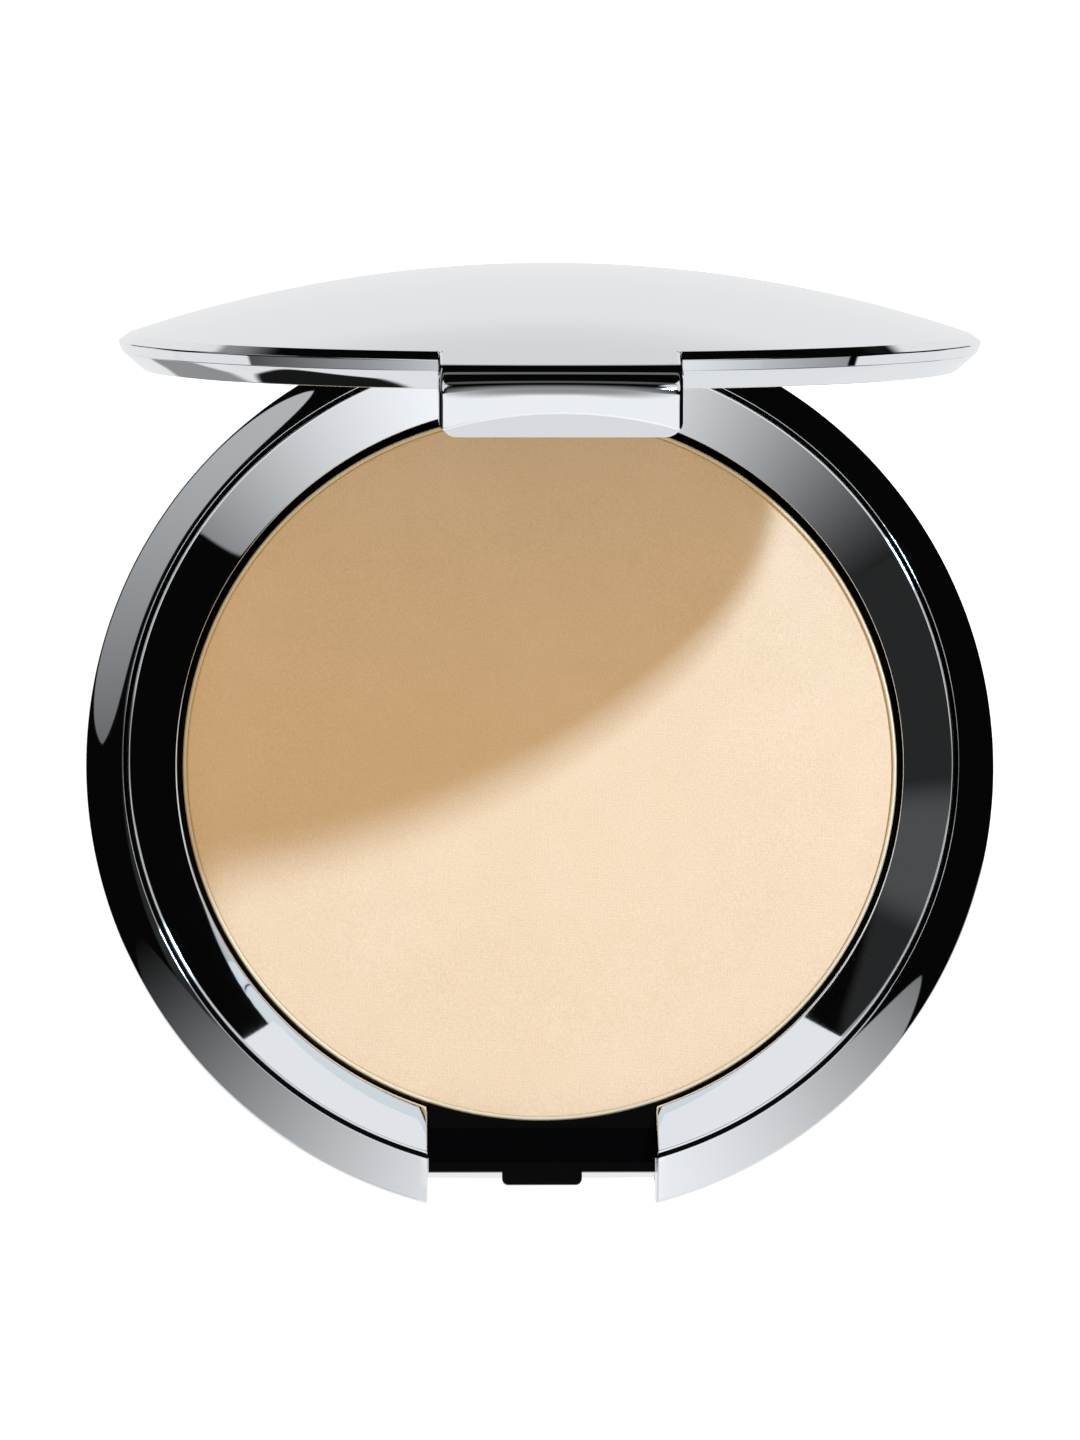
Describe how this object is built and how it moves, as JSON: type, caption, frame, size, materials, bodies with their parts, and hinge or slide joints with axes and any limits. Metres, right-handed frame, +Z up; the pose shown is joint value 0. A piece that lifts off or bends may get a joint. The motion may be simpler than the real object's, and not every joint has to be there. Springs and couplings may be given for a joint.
{
  "type": "powder compact",
  "caption": "Round mirror-plated powder compact: bevelled bowl base with a pressed powder pan, and a domed mirror lid that swings on a rear pin hinge with a front thumb tab.",
  "frame": {"origin": "centre of the flat foot under the base", "axes": "+Z up through the pan, +Y towards the hinge, +X to the right seen from the thumb notch"},
  "size_m": [0.0744, 0.0734, 0.0796],
  "materials": {
    "plated_shell": "polished",
    "black_tray": "gloss",
    "pan_tinplate": "satin",
    "pressed_powder": "matte",
    "pan_adhesive": "matte",
    "label_paper": "satin",
    "steel_plate": "satin",
    "steel_pin": "polished",
    "foam_tape": "matte",
    "mirror_silver": "polished",
    "mirror_glass": "polished"
  },
  "bodies": {
    "base": {"base_shell": "plated_shell", "base_label": "label_paper", "weight_plate": "steel_plate", "pan_tray": "black_tray", "pan_glue": "pan_adhesive", "pan": "pan_tinplate", "powder_cake": "pressed_powder", "base_bezel": "plated_shell", "hinge_pin": "steel_pin"},
    "lid": {"lid_shell": "plated_shell", "lid_liner": "plated_shell", "mirror_tape": "foam_tape", "mirror_backing": "mirror_silver", "mirror_glass": "mirror_glass"}
  },
  "joints": [
    {"name": "lid_hinge", "type": "hinge", "parent": "base", "child": "lid", "pos_m": [0, 0.0347, 0.0101], "axis": [-1, 0, 0], "range_deg": [-76.8, 43.2]}
  ]
}
